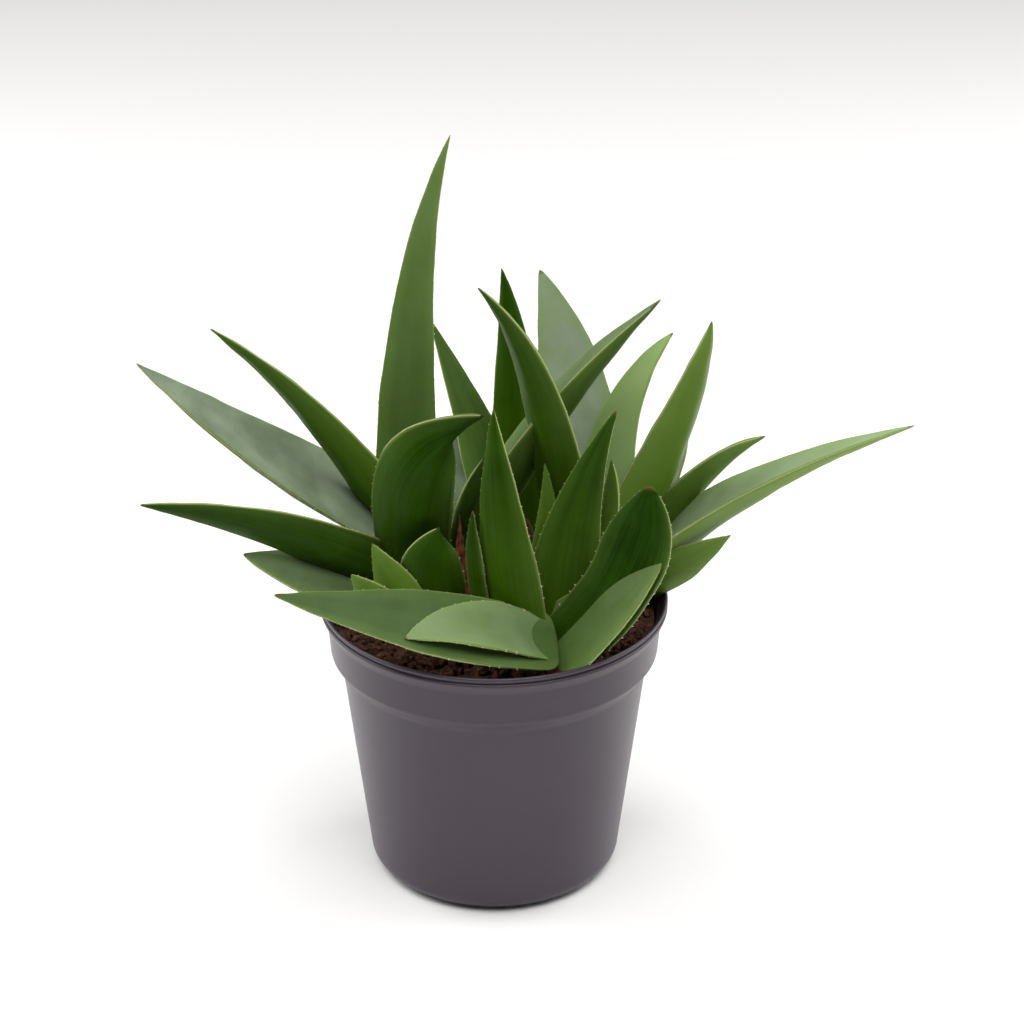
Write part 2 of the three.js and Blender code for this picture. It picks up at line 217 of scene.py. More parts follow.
# %% Peat, and bark
def crumbly(name, dark, light, crumb_mm, rough):
    """A matt, broken-up finish between two colours, with crumbs of about this size."""
    material, tree, shader = new_finish(name)
    shader.inputs["Roughness"].default_value = rough
    shader.inputs["Specular IOR Level"].default_value = 0.25
    place = add_node(tree, "TexCoord")
    crumb = add_node(tree, "TexVoronoi", {"Scale": 1 / (crumb_mm * MM)},
                     {"Vector": place.outputs["Object"]})
    dust = add_node(tree, "TexNoise", {"Scale": 3 / (crumb_mm * MM), "Detail": 6.0,
                                       "Roughness": 0.7}, {"Vector": place.outputs["Object"]})
    level = add_node(tree, "MapRange", {1: 0.3, 2: 0.75, 3: 0.0, 4: 1.0},
                     {"Value": dust.outputs["Fac"]})
    grey = add_node(tree, "SeparateColor", links={"Color": crumb.outputs["Color"]})
    both = add_node(tree, "Math", {"operation": "MULTIPLY"},
                    {0: level.outputs[0], 1: grey.outputs[0]})
    colour = add_node(tree, "Mix", {"data_type": "RGBA", 6: linear(dark), 7: linear(light)},
                      {0: both.outputs[0]})
    bump = add_node(tree, "Bump", {"Strength": 0.8, "Distance": 0.4 * MM},
                    {"Height": dust.outputs["Fac"]})
    tree.links.new(colour.outputs[2], shader.inputs["Base Color"])
    tree.links.new(bump.outputs[0], shader.inputs["Normal"])
    return material


peat = crumbly("moist peat", "#38241b", "#946650", 1.6, 0.95)
bark = crumbly("composted bark", "#3d2017", "#8f5a42", 1.2, 0.85)
coir = crumbly("coir thread", "#5a3420", "#9c6a45", 0.6, 0.8)
stem_bark = crumbly("aloe stem, corky", "#3a2a1a", "#6f5a3c", 1.5, 0.8)

# %% [markdown]
# ### The leaves: a waxy skin over wet flesh
#
# An aloe leaf is thick and full of clear gel, with a tough waxy skin. Light goes a little way in,
# so it gets some subsurface scattering. The skin is satin, and where the wax is thick it has a
# grey-green bloom. On the upper face that bloom colour is partly a painted sheen, the white room's
# reflection painted in, as the real reflection is turned far down. The veins run along the leaf
# and close in on its tip. Young parts, near the root and in the middle of a rosette, are
# yellow-green. Towards its tip and its sides a leaf is thinner, and the light that comes through
# it there is painted in as a paler green. The margin is a thin horny line, pale on a yellow-green
# rim, and the tip ends in a dry brown point.
#
# The pattern follows the leaf, so each leaf's mesh carries what the shader needs: `along` is 0 at
# the root and 1 at the tip, `across` is -1 and 1 at the margins, and `upper` is 1 on the upper
# face and 0 below. A leaf's youth, its bloom with its painted sheen, how pale its tip and sides
# go with painted light coming through them, and its seed are each one number for the whole leaf.

# %% Leaf skin
def leaf_skin():
    material, tree, shader = new_finish("aloe skin, waxy")
    shader.inputs["IOR"].default_value = 1.42  # between wet flesh, 1.36, and plant wax, 1.45
    shader.inputs["Subsurface Weight"].default_value = 0.12
    shader.inputs["Subsurface Radius"].default_value = (0.6, 1.0, 0.2)
    shader.inputs["Subsurface Scale"].default_value = 2.5 * MM
    # 0.5 would give the reflection that goes with the IOR. This is about an eighth of it, which
    # real wax doesn't do: it was set so that the dark leaves stay dark in a white room.
    shader.inputs["Specular IOR Level"].default_value = 0.06

    def told(name):
        return add_node(tree, "Attribute", {"attribute_name": name}).outputs["Fac"]

    along, across, upper = told("along"), told("across"), told("upper")
    youth, bloom_and_sheen, pale, seed = told("youth"), told("bloom_and_sheen"), told("pale"), told("seed")
    aside = add_node(tree, "Math", {"operation": "ABSOLUTE"}, {0: across}).outputs[0]
    place = add_node(tree, "TexCoord").outputs["Object"]

    # veins, about 0.7 mm apart at the leaf's widest
    veins_across = add_node(tree, "Math", {"operation": "MULTIPLY", 1: 16.0}, {0: across})
    veins_along = add_node(tree, "Math", {"operation": "MULTIPLY", 1: 2.2}, {0: along})
    vein_place = add_node(tree, "CombineXYZ", links={
        "X": veins_across.outputs[0], "Y": veins_along.outputs[0], "Z": seed})
    veins = add_node(tree, "TexNoise", {"Scale": 1.0, "Detail": 4.0, "Roughness": 0.65},
                     {"Vector": vein_place.outputs[0]}).outputs["Fac"]
    # clouds of tone about 14 mm across
    cloud = add_node(tree, "TexNoise", {"Scale": 1 / (14 * MM), "Detail": 4.0},
                     {"Vector": place}).outputs["Fac"]

    # and a few broad streaks, three or four across the leaf
    streaks_across = add_node(tree, "Math", {"operation": "MULTIPLY", 1: 3.5}, {0: across})
    streak_place = add_node(tree, "CombineXYZ", links={
        "X": streaks_across.outputs[0], "Y": along, "Z": seed})
    streaks = add_node(tree, "TexNoise", {"Scale": 1.0, "Detail": 3.0},
                       {"Vector": streak_place.outputs[0]}).outputs["Fac"]

    tone = add_node(tree, "Math", {"operation": "MULTIPLY_ADD", 1: 0.55, 2: -0.27}, {0: veins})
    tone = add_node(tree, "Math", {"operation": "MULTIPLY_ADD", 1: 0.5},
                    {0: streaks, 2: tone.outputs[0]})
    tone = add_node(tree, "Math", {"operation": "MULTIPLY_ADD", 1: 0.5},
                    {0: cloud, 2: tone.outputs[0]})
    tone = add_node(tree, "MapRange", {1: 0.3, 2: 0.72, 3: 0.0, 4: 1.0}, {"Value": tone.outputs[0]})
    green = add_node(tree, "Mix", {"data_type": "RGBA", 6: linear("#0c2203"),
                                   7: linear("#25490a")}, {0: tone.outputs[0]})

    # young tissue: strongest at the root, and fading towards the tip
    base_share = add_node(tree, "MapRange", {1: 0.75, 2: 0.05, 3: 0.25, 4: 1.0}, {"Value": along})
    young = add_node(tree, "Math", {"operation": "MULTIPLY"},
                     {0: base_share.outputs[0], 1: youth})
    fresh = add_node(tree, "Mix", {"data_type": "RGBA", 7: linear("#6b9507")},
                     {0: young.outputs[0], 6: green.outputs[2]})
    # a leaf is thinner and paler towards its tip: partly its own colour, partly painted light that
    # comes through the thin tip
    outer = add_node(tree, "MapRange", {1: 0.1, 2: 0.9, 3: 0.25, 4: 0.9}, {"Value": along})
    outer = add_node(tree, "Math", {"operation": "MULTIPLY"}, {0: outer.outputs[0], 1: pale})
    fresh = add_node(tree, "Mix", {"data_type": "RGBA", 7: linear("#8fae56")},
                     {0: outer.outputs[0], 6: fresh.outputs[2]})

    # wax bloom on the upper face, thinner where a finger or a drop has rubbed it; partly a painted
    # sheen, the white room's reflection painted on the upper face
    sheen_and_wax_cloud = add_node(tree, "MapRange", {1: 0.3, 2: 0.65, 3: 0.5, 4: 1.0}, {"Value": cloud})
    wax_and_sheen = add_node(tree, "Math", {"operation": "MULTIPLY"}, {0: sheen_and_wax_cloud.outputs[0], 1: upper})
    wax_and_sheen = add_node(tree, "Math", {"operation": "MULTIPLY"}, {0: wax_and_sheen.outputs[0], 1: bloom_and_sheen})
    bloom_and_sheen_mix = add_node(tree, "Mix", {"data_type": "RGBA", 7: linear("#a3b09a")},
                       {0: wax_and_sheen.outputs[0], 6: fresh.outputs[2]})

    # a leaf thins towards its sides, and the light that passes through it there is painted in as a
    # paler green
    see_through_light = add_node(tree, "MapRange", {"interpolation_type": "SMOOTHSTEP",
                                       1: 0.45, 2: 1.0, 3: 0.0, 4: 0.35}, {"Value": aside})
    see_through_share = add_node(tree, "Math", {"operation": "MULTIPLY_ADD", 1: 0.8, 2: 0.3}, {0: pale})
    see_through_light = add_node(tree, "Math", {"operation": "MULTIPLY"},
                    {0: see_through_light.outputs[0], 1: see_through_share.outputs[0]})
    bloom_and_sheen_mix = add_node(tree, "Mix", {"data_type": "RGBA", 7: linear("#86a352")},
                       {0: see_through_light.outputs[0], 6: bloom_and_sheen_mix.outputs[2]})
    # the horny margin: a pale line along the middle of the edge, on a yellow-green rim
    edge = add_node(tree, "MapRange", {1: 0.94, 2: 1.0, 3: 0.0, 4: 1.0}, {"Value": aside})
    off_middle = add_node(tree, "Math", {"operation": "SUBTRACT", 1: 0.5}, {0: upper})
    off_middle = add_node(tree, "Math", {"operation": "ABSOLUTE"}, {0: off_middle.outputs[0]})
    rim = add_node(tree, "Math", {"operation": "MULTIPLY", 1: 0.45}, {0: edge.outputs[0]})
    rimmed = add_node(tree, "Mix", {"data_type": "RGBA", 7: linear("#7d8f4e")},
                      {0: rim.outputs[0], 6: bloom_and_sheen_mix.outputs[2]})
    line = add_node(tree, "MapRange", {1: 0.1, 2: 0.3, 3: 0.75, 4: 0.0},
                    {"Value": off_middle.outputs[0]})
    line = add_node(tree, "Math", {"operation": "MULTIPLY"},
                    {0: line.outputs[0], 1: edge.outputs[0]})
    lined = add_node(tree, "Mix", {"data_type": "RGBA", 7: linear("#b3bb84")},
                     {0: line.outputs[0], 6: rimmed.outputs[2]})
    # the dry point
    tip = add_node(tree, "MapRange", {1: 0.965, 2: 0.99, 3: 0.0, 4: 1.0}, {"Value": along})
    whole = add_node(tree, "Mix", {"data_type": "RGBA", 7: linear("#6e4a2c")},
                     {0: tip.outputs[0], 6: lined.outputs[2]})

    rough = add_node(tree, "MapRange", {1: 0.3, 2: 0.7, 3: 0.3, 4: 0.46}, {"Value": cloud})
    rough = add_node(tree, "Math", {"operation": "MULTIPLY_ADD", 1: 0.16},
                     {0: wax_and_sheen.outputs[0], 2: rough.outputs[0]})
    # skin cells are too fine to show, and are drawn 0.5 mm across
    cells = add_node(tree, "TexNoise", {"Scale": 1 / (0.5 * MM), "Detail": 2.0},
                     {"Vector": place}).outputs["Fac"]
    relief = add_node(tree, "Math", {"operation": "MULTIPLY_ADD", 1: 0.25}, {0: cells, 2: veins})
    bump = add_node(tree, "Bump", {"Strength": 0.35, "Distance": 0.25 * MM},
                    {"Height": relief.outputs[0]})
    tree.links.new(whole.outputs[2], shader.inputs["Base Color"])
    tree.links.new(rough.outputs[0], shader.inputs["Roughness"])
    tree.links.new(bump.outputs[0], shader.inputs["Normal"])
    return material


aloe_skin = leaf_skin()

# %% [markdown]
# The teeth on the margin are small horn points, cream in colour. A leaf base that has died dries
# to thin reddish-brown paper, with its veins standing out.

# %% Teeth, and dried leaf
def plain_organic(name, dark, light, rough, streak_mm):
    """A finish between two colours in long streaks that stand upright, as in dried leaf."""
    material, tree, shader = new_finish(name)
    shader.inputs["Roughness"].default_value = rough
    place = add_node(tree, "TexCoord")
    drawn = add_node(tree, "Mapping", {"Scale": (1.0, 1.0, 0.15)},
                     {"Vector": place.outputs["Object"]})
    streak = add_node(tree, "TexNoise", {"Scale": 1 / (streak_mm * MM), "Detail": 5.0},
                      {"Vector": drawn.outputs[0]})
    level = add_node(tree, "MapRange", {1: 0.35, 2: 0.65, 3: 0.0, 4: 1.0},
                     {"Value": streak.outputs["Fac"]})
    colour = add_node(tree, "Mix", {"data_type": "RGBA", 6: linear(dark), 7: linear(light)},
                      {0: level.outputs[0]})
    bump = add_node(tree, "Bump", {"Strength": 0.5, "Distance": 0.2 * MM},
                    {"Height": streak.outputs["Fac"]})
    tree.links.new(colour.outputs[2], shader.inputs["Base Color"])
    tree.links.new(bump.outputs[0], shader.inputs["Normal"])
    return material


tooth_horn = plain_organic("leaf tooth, horn", "#b9b184", "#e0d8b4", 0.5, 0.5)
dried_leaf = plain_organic("dried leaf base", "#43200f", "#96562f", 0.75, 0.8)

# %% [markdown]
# ## The pot
#
# The real pot is a thin moulded cup: a flat floor on a ring of eight feet, a wall that widens
# upwards, a soft step out to a collar, and a lip that flares. It could be a lathe profile, but
# drawing it as one skin by extruding a ring again and again leaves clean rings of faces. The
# sizes are the CAD model's own.

# %% The pot's sizes
POT_SIDES = 176  # a multiple of the feet, so that each foot takes whole faces
FEET = 8
FOOT_FACES = 12  # of the 22 faces in each foot's share of the ring
FOOT_TURN = 14.0  # degrees
WALL = 1.2
FOOT_HEIGHT = 2.0
FOOT_WIDTH = 7.0
FOOT_INSET = 4.0  # from the widest part of the base
LIP_OVERHANG = 1.9  # the lip flares this far out from the collar
COLLAR_HEIGHT = 15.0
COLLAR_DRAFT = 0.9  # the collar is narrower by this at its foot
SHOULDER_HEIGHT = 3.6
SHOULDER_STEP = 3.2
WALL_TAPER = 7.9
pot_height = high.z / MM
collar_radius = (high.x - low.x) / 2 / MM - LIP_OVERHANG
collar_foot = pot_height - COLLAR_HEIGHT
shoulder_foot = collar_foot - SHOULDER_HEIGHT
wall_radius = collar_radius - COLLAR_DRAFT - SHOULDER_STEP
base_radius = wall_radius - WALL_TAPER
foot_outer = base_radius - FOOT_INSET
foot_inner = foot_outer - FOOT_WIDTH
print("the pot is", round(pot_height), "mm high, with a collar of radius", round(collar_radius, 1))

# %% [markdown]
# `rise` extrudes the selected ring to the next radius and height. With no window the pivot
# setting is ignored, so the scaling is given its centre, on the pot's axis.

# %% One step of a turned skin
def rise(before, after):
    """Extrudes the selected ring or disc from one [radius, height], in mm, to the next."""
    (radius, height), (new_radius, new_height) = before, after
    step = (0, 0, (new_height - height) * MM)
    bpy.ops.mesh.extrude_region_move(TRANSFORM_OT_translate={"value": step})
    scale = new_radius / radius
    bpy.ops.transform.resize(value=(scale, scale, 1), center_override=tuple(pot_axis))


def skin(name, sides, profile):
    """A closed skin around the pot's axis through [radius, height] points, in mm."""
    bpy.ops.object.select_all(action="DESELECT")
    bpy.ops.mesh.primitive_circle_add(
        vertices=sides, radius=profile[0][0] * MM, fill_type="NGON",
        location=(pot_axis.x, pot_axis.y, profile[0][1] * MM))
    piece = named(name)
    bpy.ops.object.transform_apply(location=True, rotation=True, scale=True)
    bpy.ops.object.mode_set(mode="EDIT")
    bpy.ops.mesh.select_all(action="SELECT")
    for before, after in zip(profile, profile[1:]):
        rise(before, after)
    bpy.ops.mesh.select_all(action="SELECT")
    bpy.ops.mesh.normals_make_consistent(inside=False)
    bpy.ops.object.mode_set(mode="OBJECT")
    return piece


def rounded(radius, height, size, start, end, steps):
    """Points of an arc of this size, from one angle to another in degrees, 0 pointing outwards."""
    angles = [math.radians(start + (end - start) * i / steps) for i in range(steps + 1)]
    return [(radius + size * math.cos(a), height + size * math.sin(a)) for a in angles]


# %% Draw the pot's skin
CORNER = 6.0
inner_corner = CORNER - WALL
floor = FOOT_HEIGHT + WALL
pot_profile = [
    (foot_inner, FOOT_HEIGHT),
    (foot_outer, FOOT_HEIGHT),
    *rounded(base_radius - CORNER, FOOT_HEIGHT + CORNER, CORNER, -80, 0, 8),
    (wall_radius - 0.15, shoulder_foot - 1.2),
    (wall_radius + 0.1, shoulder_foot - 0.5),
    (wall_radius + 0.6, shoulder_foot + 0.2),
    (collar_radius - 1.5, collar_foot - 0.5),
    (collar_radius - 1.0, collar_foot + 0.1),
    (collar_radius - 0.85, collar_foot + 0.9),
    (collar_radius - 0.05, pot_height - 4.6),
    (collar_radius + 0.15, pot_height - 3.8),
    (collar_radius + 1.6, pot_height - 1.4),
    *rounded(collar_radius + 1.3, pot_height - 0.6, 0.6, -30, 180, 7),
    (collar_radius + 0.6, pot_height - 1.2),
    (collar_radius - WALL, pot_height - 3.9),
    (collar_radius - COLLAR_DRAFT - WALL, collar_foot),
    (wall_radius - WALL, shoulder_foot),
    *rounded(base_radius - CORNER, floor + inner_corner, inner_corner, 0, -90, 6),
    (foot_inner, floor),
]
pot = skin("plant_pot", POT_SIDES, pot_profile)
print("the pot's skin has", len(pot.data.polygons), "faces")

# %% [markdown]
# The feet are meant to be pulled down from the flat ring of faces under the pot. The faces are
# counted round from the first foot, and the gaps between the feet would let the water out.
#
# **This step has a fault, and is left as it is.** Every point of the skin is still selected, and
# edit mode selects each face whose points are all selected. So the whole skin is extruded, and
# the pot ends as two whole skins, one 2 mm below the other, with no feet. Selecting nothing in
# edit mode before `face.select` is set is the likely mend, and it hasn't been tried.

# %% Meant to pull the feet down, and copies the whole skin
FACES_PER_FOOT = POT_SIDES // FEET


def face_angle(face):
    """The direction of a face's centre from the pot's axis, in turns from 0 to 1."""
    offset = face.center - pot_axis
    return (math.atan2(offset.y, offset.x) / math.tau) % 1.0


select_only(pot)
for face in pot.data.polygons:
    radius = (face.center - pot_axis).to_2d().length / MM
    is_ring = abs(face.center.z / MM - FOOT_HEIGHT) < 0.01 and foot_inner < radius < foot_outer
    place = int(face_angle(face) * POT_SIDES) % FACES_PER_FOOT
    face.select = is_ring and place < FOOT_FACES
bpy.ops.object.mode_set(mode="EDIT")
bpy.ops.mesh.select_mode(type="FACE")
bpy.ops.mesh.extrude_region_move(TRANSFORM_OT_translate={"value": (0, 0, -FOOT_HEIGHT * MM)})
bpy.ops.mesh.select_all(action="SELECT")
first_foot = math.radians(FOOT_TURN) - math.tau * FOOT_FACES / POT_SIDES / 2
bpy.ops.transform.rotate(value=-first_foot, orient_axis="Z", center_override=tuple(pot_axis))
bpy.ops.object.mode_set(mode="OBJECT")
apply_modifier(pot, "BEVEL", width=0.35 * MM, segments=3, limit_method="ANGLE",
               angle_limit=math.radians(50))

# %% [markdown]
# The drain holes sit inside the ring where the feet belong, one at each gap. They are cut with
# one cutter made of eight rods.

# %% Cut the drain holes
HOLE_RADIUS = 1.9
HOLE_INSET = 3.8  # from the inner side of the ring of feet
reach = (foot_inner - HOLE_INSET) * MM
rods = []
for foot in range(FEET):
    turn = math.radians(FOOT_TURN) + math.tau * (foot + 0.5) / FEET
    bpy.ops.object.select_all(action="DESELECT")
    bpy.ops.mesh.primitive_cylinder_add(
        vertices=24, radius=HOLE_RADIUS * MM, depth=8 * MM,
        location=(pot_axis.x + reach * math.cos(turn), pot_axis.y + reach * math.sin(turn),
                  FOOT_HEIGHT * MM))
    rods.append(bpy.context.active_object)
select_only(*rods)
bpy.ops.object.join()
cutter = named("drain_cutter")
apply_modifier(pot, "BOOLEAN", operation="DIFFERENCE", object=cutter, solver="EXACT")
bpy.data.objects.remove(cutter)
select_only(pot)
bpy.ops.object.shade_smooth_by_angle(angle=math.radians(35))
hand_over(pot, pot_plastic, "pot", "nursery_pot")
print("the pot has", len(pot.data.polygons), "faces")

# %% [markdown]
# ## The soil
#
# The soil fills the pot as one body, closed below, and only its top shows. The top is drawn as
# many narrow rings, so that the Displace modifier has points to push up into crumbs.

# %% Fill the pot
SOIL_GAP = 0.3  # the CAD model's gap between two pieces that touch
SOIL_SIDES = 144
CRUST_RINGS = 26
MOUND = 2.0  # the middle of the soil stands higher than its edge by this
soil_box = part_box("potting_soil")
soil_peak = soil_box[1].z / MM
soil_edge = soil_peak - MOUND
rim_inside = collar_radius - 0.6 - WALL - SOIL_GAP  # the collar narrows by 0.6 down there


def crust_height(share):
    """The height of the mound at a share of its radius, from 0 at the middle to 1 at the wall."""
    return soil_edge + (soil_peak - soil_edge) * (1 - share ** 2)


shares = [1 - (i + 1) / (CRUST_RINGS + 1) for i in range(CRUST_RINGS)]
soil = skin("potting_soil_bed", SOIL_SIDES, [
    (base_radius - CORNER, floor + SOIL_GAP),
    *rounded(base_radius - CORNER, floor + inner_corner, inner_corner - SOIL_GAP, -80, 0, 4),
    (wall_radius - WALL - SOIL_GAP, shoulder_foot),
    (collar_radius - COLLAR_DRAFT - WALL - SOIL_GAP, collar_foot),
    (rim_inside, soil_edge),
    *[(rim_inside * share, crust_height(share)) for share in shares],
])

# %% [markdown]
# Two sizes of lumps, coarse and fine, break up the top. A vertex group keeps the walls of the
# body as they are.

# %% Break up the top
crust = soil.vertex_groups.new(name="crust")
top_points = [v.index for v in soil.data.vertices if v.co.z / MM > soil_edge - 0.2
              and (v.co - pot_axis).to_2d().length / MM < rim_inside - 1.0]
crust.add(top_points, 1.0, "REPLACE")
for lumps, height in ((7.0, 1.7), (2.4, 1.1)):
    apply_modifier(soil, "DISPLACE", texture=clouds(f"lumps of {lumps} mm", lumps),
                   texture_coords="GLOBAL", direction="Z", mid_level=0.55,
                   strength=height * MM, vertex_group="crust")
select_only(soil)
bpy.ops.object.shade_smooth_by_angle(angle=math.radians(50))
hand_over(soil, peat, "soil", "potting_soil")
print("the soil's top has", len(top_points), "points")

# %% [markdown]
# Chips of bark, crumbs of peat and threads of coir lie on the soil. Each kind is modelled once
# and copied, and each copy is turned, sized and placed at random. The random numbers have a
# fixed seed, so that every run gives the same soil.

# %% Model one chip, one crumb and one thread
scatter = random.Random(7)


def rough_lump(name, size, flatness, faces_each_way, jitter):
    """A small broken lump from a cube: subdivided, cast towards a ball, and knocked about."""
    bpy.ops.object.select_all(action="DESELECT")
    bpy.ops.mesh.primitive_cube_add(size=size * MM)
    lump = named(name)
    bpy.ops.object.mode_set(mode="EDIT")
    bpy.ops.mesh.select_all(action="SELECT")
    bpy.ops.mesh.subdivide(number_cuts=faces_each_way - 1)
    bpy.ops.transform.tosphere(value=0.6)
    bpy.ops.transform.resize(value=(1.0, 0.62, flatness))
    bpy.ops.transform.vertex_random(offset=jitter * MM, seed=3)
    bpy.ops.object.mode_set(mode="OBJECT")
    bpy.ops.object.shade_smooth_by_angle(angle=math.radians(40))
    return lump


chip = rough_lump("bark_chip", 5.0, 0.28, 3, 0.35)
crumb = rough_lump("peat_crumb", 2.0, 0.75, 3, 0.25)

bpy.ops.object.select_all(action="DESELECT")
bpy.ops.mesh.primitive_circle_add(vertices=5, radius=0.16 * MM, fill_type="NGON")
thread = named("coir_thread")
bpy.ops.object.mode_set(mode="EDIT")
bpy.ops.mesh.select_all(action="SELECT")
for step in range(7):
    sway = 0.35 * MM * math.sin(step * 1.3)
    bpy.ops.mesh.extrude_region_move(
        TRANSFORM_OT_translate={"value": (sway, sway / 2, 1.1 * MM)})
bpy.ops.object.mode_set(mode="OBJECT")
bpy.ops.transform.rotate(value=math.radians(90), orient_axis="Y", center_override=(0, 0, 0))
bpy.ops.object.transform_apply(location=True, rotation=True, scale=True)

# %% [markdown]
# Copies that share a finish are joined into one piece, because hundreds of single pieces would
# be a burden and nobody picks up one crumb.

# %% Strew them over the soil
def strewn(name, model, count, sizes, tilt, lift, finish):
    """Copies of a model over the soil, joined into one piece."""
    copies = []
    for _ in range(count):
        copy = model.copy()
        copy.data = model.data.copy()
        bpy.context.scene.collection.objects.link(copy)
        reach = (rim_inside - 2.2) * math.sqrt(scatter.random())
        turn = scatter.uniform(0, math.tau)
        size = scatter.uniform(*sizes)
        copy.scale = (size, size, size)
        copy.rotation_euler = (scatter.uniform(-tilt, tilt), scatter.uniform(-tilt, tilt),
                               scatter.uniform(0, math.tau))
        height = crust_height(reach / rim_inside) + lift + scatter.uniform(-0.4, 0.5)
        copy.location = (pot_axis.x + reach * MM * math.cos(turn),
                         pot_axis.y + reach * MM * math.sin(turn), height * MM)
        copies.append(copy)
    select_only(*copies)
    bpy.ops.object.join()
    piece = named(name)
    piece.data.materials.clear()
    hand_over(piece, finish, "soil")
    print(name, "has", count, "pieces and", len(piece.data.polygons), "faces")
    return piece


strewn("bark_chips", chip, 150, (0.45, 1.25), 0.6, 0.1, bark)
strewn("peat_crumbs", crumb, 620, (0.4, 1.4), 1.5, 0.2, peat)
strewn("bark_crumbs", crumb, 320, (0.35, 1.15), 1.5, 0.3, bark)
strewn("coir_threads", thread, 110, (0.5, 1.2), 0.25, 0.7, coir)
for model in (chip, crumb, thread):
    bpy.data.objects.remove(model)

# %% [markdown]
# ## The stems
#
# Each rosette stands on a short corky stem. The leaf bases hide almost all of it, so a copy of
# the CAD solid, merged, smoothed and roughened a little, is enough.

# %% Smooth and roughen the stems
def merged_copy(node, name):
    """A copy of a CAD node with its loose triangles merged into one skin."""
    copy = nodes[node].copy()
    copy.data = nodes[node].data.copy()
    copy.parent = None
    bpy.context.scene.collection.objects.link(copy)
    copy.name = copy.data.name = name
    for key in [k for k in copy.keys() if k.startswith("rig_")]:
        del copy[key]
    copy.data.materials.clear()
    select_only(copy)
    bpy.ops.object.mode_set(mode="EDIT")
    bpy.ops.mesh.select_all(action="SELECT")
    bpy.ops.mesh.remove_doubles(threshold=0.001 * MM)
    bpy.ops.object.mode_set(mode="OBJECT")
    return copy


for node in sorted(n for n in nodes if n.startswith("stem_")):
    stem = merged_copy(node, node + "_bark")
    apply_modifier(stem, "SUBSURF", levels=2, render_levels=2)
    apply_modifier(stem, "DISPLACE", texture=clouds("cork", 2.0), texture_coords="GLOBAL",
                   mid_level=0.5, strength=0.5 * MM)
    select_only(stem)
    bpy.ops.object.shade_smooth()
    hand_over(stem, stem_bark, "stem", node)

# %% [markdown]
# ## The leaves
#
# The CAD leaf is a chain of ten-sided rings from the root to the tip: five points over the upper
# face from margin to margin, and five back under the keel. Where a leaf presses on its
# neighbours the CAD solid is cut back, so only the rings from the tip down to the first cut are
# whole. The first job is to read those rings. A ring is the set of points that are one edge
# further from the tip than the ring before it.

# %% Read the whole rings of a CAD leaf
RING_SHARES = (0.0, 0.1, 0.22, 0.36, 0.5, 0.64, 0.77, 0.88, 0.95)  # where the CAD rings stand
RING_POINTS = 10


def whole_rings(mesh):
    """The tip of a merged CAD leaf, and its whole rings from the tip down, as arrays of points."""
    draft = bmesh.new()
    draft.from_mesh(mesh)
    found = []
    for tip in (v for v in draft.verts if len(v.link_edges) == RING_POINTS):
        seen, layer, rings = {tip}, {tip}, []
        while len(rings) < len(RING_SHARES):
            layer = {e.other_vert(v) for v in layer for e in v.link_edges} - seen
            if len(layer) != RING_POINTS:
                break
            seen |= layer
            rings.append(np.array([v.co for v in sorted(layer, key=lambda v: v.index)]))
        size = np.ptp(rings[0], axis=0).max() if rings else math.inf
        found.append((len(rings), -size, np.array(tip.co), rings))
    draft.free()
    _, _, tip, rings = max(found, key=lambda entry: entry[:2])
    return tip, rings


# %% [markdown]
# A ring's points are then put in order. The widest direction of the lowest ring runs across the
# leaf, and its margins stand higher than its middle, because the keel hangs below. That gives
# across and up there, and each ring above takes the directions nearest to those of the last.

# %% Put a ring in order
def unit(vector):
    return vector / np.linalg.norm(vector)


def ordered(ring, towards_tip, up_before):
    """The ring's points from one margin over the upper face to the other and back below."""
    offsets = ring - ring.mean(axis=0)
    _, _, axes = np.linalg.svd(offsets)
    if up_before is None:
        across, up = axes[0], axes[1]
        by_side = np.argsort(offsets @ across)
        up_before = offsets[[*by_side[:2], *by_side[-2:]]].mean(axis=0)
    else:
        up, across = sorted(axes[:2], key=lambda axis: -abs(axis @ up_before))
    up = up if up_before @ up > 0 else -up
    across = across if np.cross(towards_tip, up) @ across > 0 else -across
    by_side = np.argsort(offsets @ across)
    pairs = [sorted(by_side[i:i + 2], key=lambda k: -(offsets[k] @ up)) for i in range(0, 10, 2)]
    order = [pair[0] for pair in pairs] + [pair[1] for pair in reversed(pairs)]
    return ring[order], across, up


# %% [markdown]
# A leaf's midrib is a quadratic curve, so it can be carried on exactly from the rings that are
# whole down to the root that the cuts took away. Each missing ring keeps the shape of the last
# whole one, is made wider as the leaf's outline says, and is turned to face along the curve.

# %% Carry the leaf on to its root
ROOT_SHARE = 0.85  # of its full width, where a leaf leaves its stem


